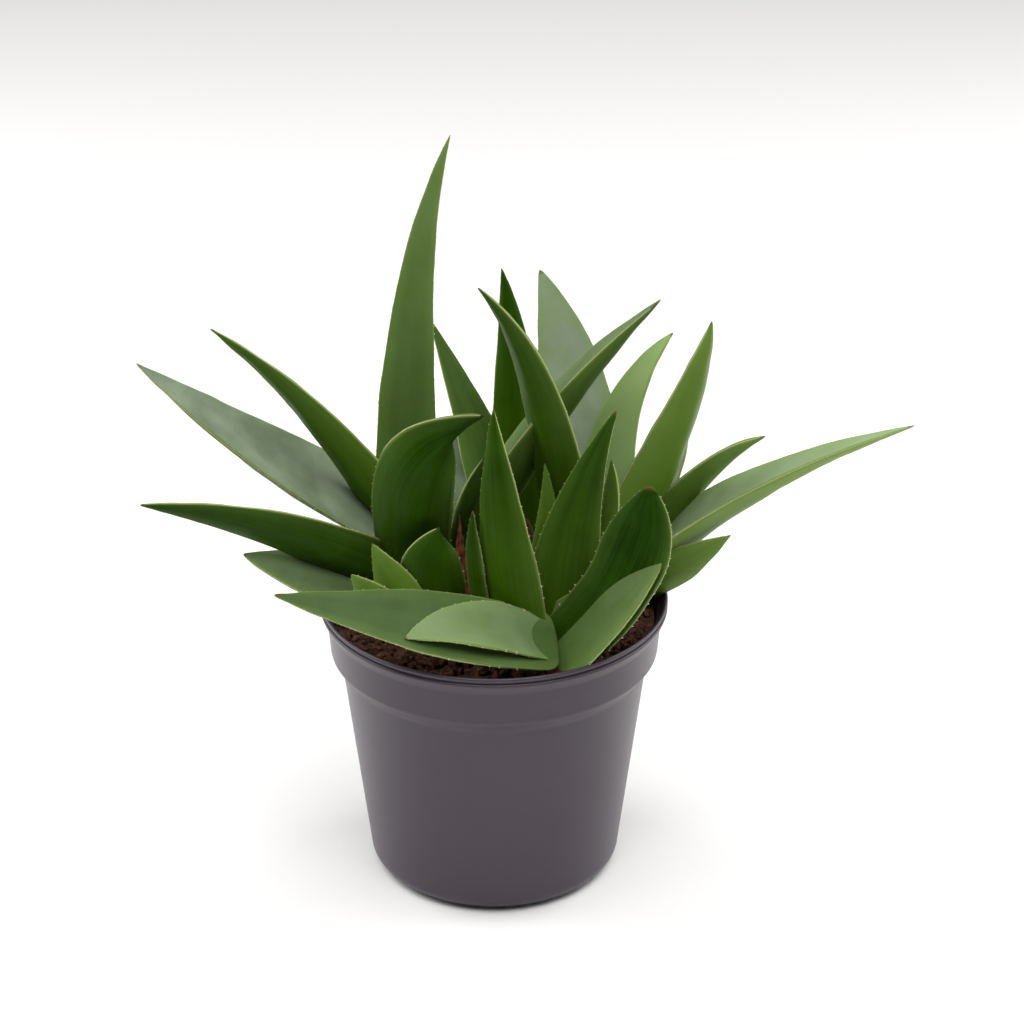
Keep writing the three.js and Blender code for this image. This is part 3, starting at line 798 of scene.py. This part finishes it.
def leaf_sections(node):
    """Every ring of a leaf from its root up, as (share, points, across, up), and its tip."""
    source = merged_copy(node, node + "_read")
    tip, rings = whole_rings(source.data)
    bpy.data.objects.remove(source)
    rings = rings[::-1]  # from the last cut up to the tip
    known = RING_SHARES[len(RING_SHARES) - len(rings):]
    middles = [ring.mean(axis=0) for ring in rings] + [tip]
    sections, up = [], None
    for share, ring, here, ahead in zip(known, rings, middles, middles[1:]):
        points, across, up = ordered(ring, unit(ahead - here), up)
        sections.append((share, points, across, up))
    midrib = [(s[1][0] + s[1][4]) / 2 for s in sections] + [tip]
    curve = np.polyfit([*known, 1.0], np.array(midrib), 2)
    slope = curve[:2] * [[2], [1]]

    share, points, across, up = sections[0]
    centre = curve[0] * share ** 2 + curve[1] * share + curve[2]
    shape = [((p - centre) @ across, (p - centre) @ up) for p in points]
    # the outline is carried on too, and draws in a little where the leaf leaves its stem
    widths = [np.linalg.norm(s[1][4] - s[1][0]) for s in sections]
    outline = np.polyfit([*known, 1.0], [*widths, 0.0], 2)
    for share in reversed(RING_SHARES[:len(RING_SHARES) - len(rings)]):
        swell = min(max(np.polyval(outline, share) / widths[0], 1.0), 1.35)
        swell *= min(ROOT_SHARE + (1 - ROOT_SHARE) * share / 0.22, 1.0)
        centre = curve[0] * share ** 2 + curve[1] * share + curve[2]
        along = unit(slope[0] * share + slope[1])
        up = unit(up - (up @ along) * along)
        across = np.cross(along, up)
        points = np.array([centre + (x * across + y * up) * swell for x, y in shape])
        sections.insert(0, (share, points, across, up))
    return sections, tip


# %% [markdown]
# Now the leaf can be drawn: a circle of ten points at the root, extruded ring after ring, with
# every new ring's points snapped to their places, and the last one merged into the tip. The
# points remember which place in the ring they hold, and extruding copies that, so the order of
# the points never matters.

# %% Draw a leaf
ACROSS_AT = (-1.0, -0.55, 0.0, 0.55, 1.0, 1.0, 0.55, 0.0, -0.55, -1.0)
UPPER_AT = (1.0,) * 5 + (0.0,) * 5


def snap_ring(mesh, share, points):
    """Puts the selected points of the leaf being drawn on a ring's places."""
    draft = bmesh.from_edit_mesh(mesh)
    place = draft.verts.layers.int["place"]
    along = draft.verts.layers.float["along"]
    for vertex in draft.verts:
        if vertex.select:
            vertex.co = points[vertex[place]]
            vertex[along] = share
    bmesh.update_edit_mesh(mesh)


def draw_leaf(name, sections, tip):
    """The plain cage of a leaf, closed at both ends, with its attributes."""
    bpy.ops.object.select_all(action="DESELECT")
    bpy.ops.mesh.primitive_circle_add(vertices=RING_POINTS, radius=5 * MM, fill_type="NGON",
                                      location=tuple(sections[0][1].mean(axis=0)))
    leaf = named(name)
    bpy.ops.object.transform_apply(location=True, rotation=True, scale=True)
    for attribute, kind in (("place", "INT"), ("along", "FLOAT"), ("across", "FLOAT"),
                            ("upper", "FLOAT")):
        leaf.data.attributes.new(attribute, kind, "POINT")
    # each point of the circle takes one place in the ring
    places = list(range(RING_POINTS))
    leaf.data.attributes["place"].data.foreach_set("value", places)
    leaf.data.attributes["across"].data.foreach_set("value", [ACROSS_AT[p] for p in places])
    leaf.data.attributes["upper"].data.foreach_set("value", [UPPER_AT[p] for p in places])
    bpy.ops.object.mode_set(mode="EDIT")
    bpy.ops.mesh.select_mode(type="VERT")
    bpy.ops.mesh.select_all(action="SELECT")
    share, points, _, _ = sections[0]
    snap_ring(leaf.data, share, points)
    for share, points, _, _ in sections[1:]:
        bpy.ops.mesh.extrude_region_move()
        snap_ring(leaf.data, share, points)
    bpy.ops.mesh.extrude_region_move()
    snap_ring(leaf.data, 1.0, [tip] * RING_POINTS)
    bpy.ops.mesh.merge(type="CENTER")
    bpy.ops.mesh.select_all(action="SELECT")
    bpy.ops.mesh.normals_make_consistent(inside=False)
    bpy.ops.object.mode_set(mode="OBJECT")
    return leaf


# %% [markdown]
# The margins are creased before the leaf is subdivided, so that they stay a crisp line between
# the hollow upper face and the round keel. Then a little unevenness goes in, as no grown leaf is
# quite true.

# %% Round a leaf, and keep its margins
MARGIN_CREASE = 0.55


def round_leaf(leaf):
    """Creases the cage's margins and tip, and subdivides it."""
    select_only(leaf)
    bpy.ops.object.mode_set(mode="EDIT")
    draft = bmesh.from_edit_mesh(leaf.data)
    place = draft.verts.layers.int["place"]
    for edge in draft.edges:
        ends = {vertex[place] for vertex in edge.verts}
        edge.select = len(ends) == 1 and ends <= {0, 4, 5, 9}
    bmesh.update_edit_mesh(leaf.data)
    bpy.ops.transform.edge_crease(value=MARGIN_CREASE)
    bpy.ops.object.mode_set(mode="OBJECT")
    apply_modifier(leaf, "SUBSURF", levels=3, render_levels=3)
    apply_modifier(leaf, "DISPLACE", texture=clouds("uneven growth", 16.0),
                   texture_coords="GLOBAL", mid_level=0.5, strength=0.9 * MM)


# %% [markdown]
# The teeth are modelled once, as a small hooked cone, and copied along both margins. They stand
# outwards and lean towards the tip, and they get smaller and closer together towards it.

# %% Model one tooth
bpy.ops.object.select_all(action="DESELECT")
bpy.ops.mesh.primitive_cone_add(vertices=6, radius1=0.42 * MM, depth=1.1 * MM)
tooth = named("margin_tooth")
tooth.data.materials.append(tooth_horn)
bpy.ops.object.mode_set(mode="EDIT")
bpy.ops.mesh.select_all(action="SELECT")
bpy.ops.mesh.subdivide(number_cuts=1)
bpy.ops.object.mode_set(mode="OBJECT")
for vertex in tooth.data.vertices:
    vertex.co.x += 0.35 * MM * max(0.0, vertex.co.z / (0.55 * MM)) ** 2
print("a tooth has", len(tooth.data.polygons), "faces")

# %% Set the teeth along a leaf
TOOTH_STEP = 4.2  # mm between teeth at the middle of a leaf


def margin_line(leaf, side):
    """The points along the middle of one margin of a rounded leaf, root first, with their shares."""
    count = len(leaf.data.vertices)
    told = {}
    for attribute in ("along", "across", "upper"):
        values = np.empty(count, np.float32)
        leaf.data.attributes[attribute].data.foreach_get("value", values)
        told[attribute] = values
    points = np.empty(count * 3, np.float32)
    leaf.data.vertices.foreach_get("co", points)
    points = points.reshape(-1, 3)
    chosen = (told["across"] * side > 0.985) & (abs(told["upper"] - 0.5) < 0.07)
    chosen &= (told["along"] > 0.12) & (told["along"] < 0.985)
    order = np.argsort(told["along"][chosen])
    return points[chosen][order], told["along"][chosen][order]


def set_teeth(leaf, sections, dice, size):
    """Copies the tooth along both margins and joins the copies to the leaf."""
    copies = []
    for side in (-1, 1):
        points, shares = margin_line(leaf, side)
        travelled, next_tooth = 0.0, dice.uniform(1, TOOTH_STEP)
        for before, point, share in zip(points, points[1:], shares[1:]):
            travelled += np.linalg.norm(point - before) / MM
            if travelled < next_tooth:
                continue
            next_tooth += TOOTH_STEP * (1.15 - 0.6 * share) * dice.uniform(0.75, 1.3)
            _, _, across, _ = min(sections, key=lambda s: abs(s[0] - share))
            outward = Vector(across * side)
            forward = Vector(unit(point - before))
            copy = tooth.copy()
            copy.data = tooth.data.copy()
            bpy.context.scene.collection.objects.link(copy)
            lean = (outward + 0.35 * forward).normalized()
            turn = lean.to_track_quat("Z", "Y")
            scale = size * (1.1 - 0.55 * share) * dice.uniform(0.75, 1.15)
            copy.rotation_mode = "QUATERNION"
            copy.rotation_quaternion = turn
            copy.scale = (scale, scale, scale)
            copy.location = Vector(point) + outward * 0.15 * MM
            copies.append(copy)
    if copies:
        select_only(leaf, *copies)
        bpy.ops.object.join()
    return len(copies)


# %% [markdown]
# Each leaf has a habit of its own. `youth` makes it yellow-green, the bloom number gives it a
# grey-green wax with a painted sheen on the upper face, `pale` makes its tip and sides paler,
# partly with painted light coming through them, and `teeth` says how large its teeth are. What
# isn't listed is a grown leaf of the usual deep green.

# %% Each leaf's habit
USUAL = {"youth": 0.2, "bloom_and_sheen": 0.3, "pale": 0.35, "teeth": 0.6}
HABITS = {
    "tall": {"youth": 0.3, "bloom_and_sheen": 0.1, "pale": 0.45},
    "hook": {"youth": 0.15, "bloom_and_sheen": 0.0, "pale": 0.0},
    "left_low": {"youth": 0.1, "bloom_and_sheen": 0.05, "pale": 0.05},
    "left_high": {"youth": 0.1, "bloom_and_sheen": 0.6, "pale": 0.05},
    "left_slim": {"youth": 0.4, "bloom_and_sheen": 0.0, "pale": 0.15},
    "crossing": {"youth": 0.2, "bloom_and_sheen": 0.2, "pale": 0.2},
    "left_inner": {"bloom_and_sheen": 0.2, "youth": 0.1, "pale": 0.1},
    "spear": {"youth": 0.3, "bloom_and_sheen": 0.0, "pale": 0.05},
    "back_needle": {"youth": 0.3, "bloom_and_sheen": 0.0, "pale": 0.0},
    "back_blade": {"youth": 0.0, "bloom_and_sheen": 1.0, "pale": 1.0},
    "back_short": {"youth": 0.5, "bloom_and_sheen": 0.3, "pale": 1.1},
    "right_tall": {"youth": 0.6, "bloom_and_sheen": 0.0, "pale": 0.45},
    "right_grey": {"bloom_and_sheen": 0.9, "pale": 0.6},
    "right_short": {"youth": 0.3, "bloom_and_sheen": 0.1, "pale": 0.4},
    "right_long": {"youth": 0.1, "bloom_and_sheen": 0.5, "pale": 0.85},
    "right_rim": {"bloom_and_sheen": 0.3, "pale": 0.5},
    "front_short": {"youth": 0.3, "bloom_and_sheen": 0.35, "pale": 0.6, "teeth": 0.9},
    "front_upright": {"youth": 0.3, "bloom_and_sheen": 0.0, "pale": 0.0, "teeth": 0.8},
    "front_broad": {"youth": 0.25, "bloom_and_sheen": 0.0, "pale": 0.03},
    "front_inner": {"youth": 0.7, "bloom_and_sheen": 0.0, "pale": 0.3, "teeth": 0.9},
    "front_shelf": {"youth": 0.35, "bloom_and_sheen": 0.15, "pale": 0.28},
    "front_boat": {"youth": 0.1, "bloom_and_sheen": 0.0, "pale": 0.0, "teeth": 0.9},
    "front_left": {"youth": 0.2, "bloom_and_sheen": 0.12, "pale": 0.15, "teeth": 0.9},
    "pup_hood": {"youth": 0.3, "bloom_and_sheen": 0.0, "pale": 0.0, "teeth": 0.9},
    "pup_point": {"youth": 1.0, "bloom_and_sheen": 0.0, "pale": 0.35, "teeth": 0.8},
    "pup_notched": {"youth": 1.0, "bloom_and_sheen": 0.0, "pale": 0.3, "teeth": 1.0},
    "back_left": {"youth": 0.3, "bloom_and_sheen": 0.05, "pale": 0.2},
    "back_low_2": {"youth": 0.1, "bloom_and_sheen": 0.4, "pale": 0.0},
    "front_back": {"youth": 0.6, "bloom_and_sheen": 0.0, "pale": 0.2},
    "left_rim": {"bloom_and_sheen": 0.25, "pale": 0.25},
    "olive": {"youth": 0.3, "bloom_and_sheen": 0.0, "pale": 0.0},
}


def tell(leaf, attribute, value):
    """Writes one number on every point of a leaf, for its material to read."""
    layer = leaf.data.attributes.new(attribute, "FLOAT", "POINT")
    layer.data.foreach_set("value", [value] * len(leaf.data.vertices))


# %% [markdown]
# Every leaf goes through the same steps, in the order a maker would take: read, draw, round,
# give its habit, set its teeth, hand over.

# %% Grow the leaves
total_teeth = 0
for number, node in enumerate(sorted(n for n in nodes if n.startswith("leaf_"))):
    habit = {**USUAL, **HABITS.get(node.removeprefix("leaf_"), {})}
    sections, tip = leaf_sections(node)
    leaf = draw_leaf("aloe_" + node, sections, tip)
    round_leaf(leaf)
    tell(leaf, "youth", habit["youth"])
    tell(leaf, "bloom_and_sheen", habit["bloom_and_sheen"])
    tell(leaf, "pale", habit["pale"])
    tell(leaf, "seed", number * 3.7)
    leaf.data.materials.append(aloe_skin)
    total_teeth += set_teeth(leaf, sections, random.Random(100 + number), habit["teeth"])
    select_only(leaf)
    bpy.ops.object.shade_smooth()
    hand_over(leaf, aloe_skin, "leaf", node)
print("there are", number + 1, "leaves with", total_teeth, "teeth")
bpy.data.objects.remove(tooth)

# %% [markdown]
# ## The dry leaf bases
#
# Two dead leaf bases have dried to papery strips between the rosettes. They are read and drawn as
# the leaves are, and then crinkled harder.

# %% Draw the dry strips
for node in sorted(n for n in nodes if n.startswith("dry_sheath_")):
    sections, tip = leaf_sections(node)
    strip = draw_leaf("papery_" + node, sections, tip)
    apply_modifier(strip, "SUBSURF", levels=3, render_levels=3)
    apply_modifier(strip, "DISPLACE", texture=clouds("crinkle", 3.0), texture_coords="GLOBAL",
                   mid_level=0.5, strength=1.4 * MM)
    select_only(strip)
    bpy.ops.object.shade_smooth()
    hand_over(strip, dried_leaf, "dry_sheath", node)

# %% [markdown]
# ## The studio
#
# A plain pale floor, lit as for a catalogue: two wide soft boxes at the sides, a little behind
# the plant, which put a pale sheen down both sides of the pot, and a softer one above the camera.

# %% Lay the floor
bpy.ops.object.select_all(action="DESELECT")
bpy.ops.mesh.primitive_plane_add(size=8.0, location=(pot_axis.x, pot_axis.y, 0))
ground = named("studio_floor")
material, _, shader = new_finish("matt white card")
shader.inputs["Base Color"].default_value = linear("#fcfbfa")
shader.inputs["Roughness"].default_value = 0.9
ground.data.materials.append(material)
ground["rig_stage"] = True

# %% Hang the lights
def soft_box(name, azimuth, elevation, distance, width, height, watts):
    """A rectangular light that looks at the middle of the plant. Azimuth 0 is behind the camera."""
    target = pot_axis + Vector((0, 0, 0.11))
    turn, lift = math.radians(azimuth), math.radians(elevation)
    reach = Vector((math.sin(turn) * math.cos(lift), -math.cos(turn) * math.cos(lift),
                    math.sin(lift)))
    light = bpy.data.lights.new(name, "AREA")
    light.shape = "RECTANGLE"
    light.size, light.size_y = width, height
    light.energy = watts
    lamp = bpy.data.objects.new(name, light)
    lamp.location = target + reach * distance
    lamp.rotation_euler = (-reach).to_track_quat("-Z", "Y").to_euler()
    bpy.context.scene.collection.objects.link(lamp)


soft_box("left_box", -108, 30, 0.9, 0.7, 0.9, 6.5)
soft_box("right_box", 112, 30, 0.9, 0.7, 0.9, 5.5)
soft_box("top_box", 10, 66, 1.0, 0.8, 0.6, 7.0)

world = bpy.data.worlds.new("pale room")
world.use_nodes = True
background = world.node_tree.nodes["Background"]
background.inputs["Color"].default_value = (1.0, 1.0, 1.0, 1.0)
direction = add_node(world.node_tree, "TexCoord")
split = add_node(world.node_tree, "SeparateXYZ", links={0: direction.outputs["Generated"]})
fill = add_node(world.node_tree, "MapRange", {1: -0.7, 2: 0.7, 3: 0.07, 4: 0.6},
                {"Value": split.outputs["Y"]})
world.node_tree.links.new(fill.outputs[0], background.inputs["Strength"])
bpy.context.scene.world = world
bpy.context.scene.view_settings.view_transform = "Standard"

# %% [markdown]
# The camera stands a metre off with a long lens, and looks down on the pot at about 27 degrees.

# %% Set up the camera
LOOK_DOWN = 26.7  # degrees
DISTANCE = 950.0  # mm, a guess
LENS = 112.0  # mm, so that the plant fills the view from there
AIM = (5.4, 0.0, 117.6)  # mm from the foot of the pot's axis
aim = pot_axis + Vector(AIM) * MM
drop = math.radians(LOOK_DOWN)
away = Vector((0, -math.cos(drop), math.sin(drop)))
camera_data = bpy.data.cameras.new("catalogue camera")
camera_data.lens = LENS
camera = bpy.data.objects.new("catalogue_camera", camera_data)
camera.location = aim + away * DISTANCE * MM
camera.rotation_euler = (-away).to_track_quat("-Z", "Y").to_euler()
bpy.context.scene.collection.objects.link(camera)
bpy.context.scene.camera = camera

# %% Measure and finish
visual_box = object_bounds()
for name, box in (("CAD", cad_box), ("visual", visual_box)):
    print(name, "model, mm:", [[round(v / MM, 1) for v in corner] for corner in box])
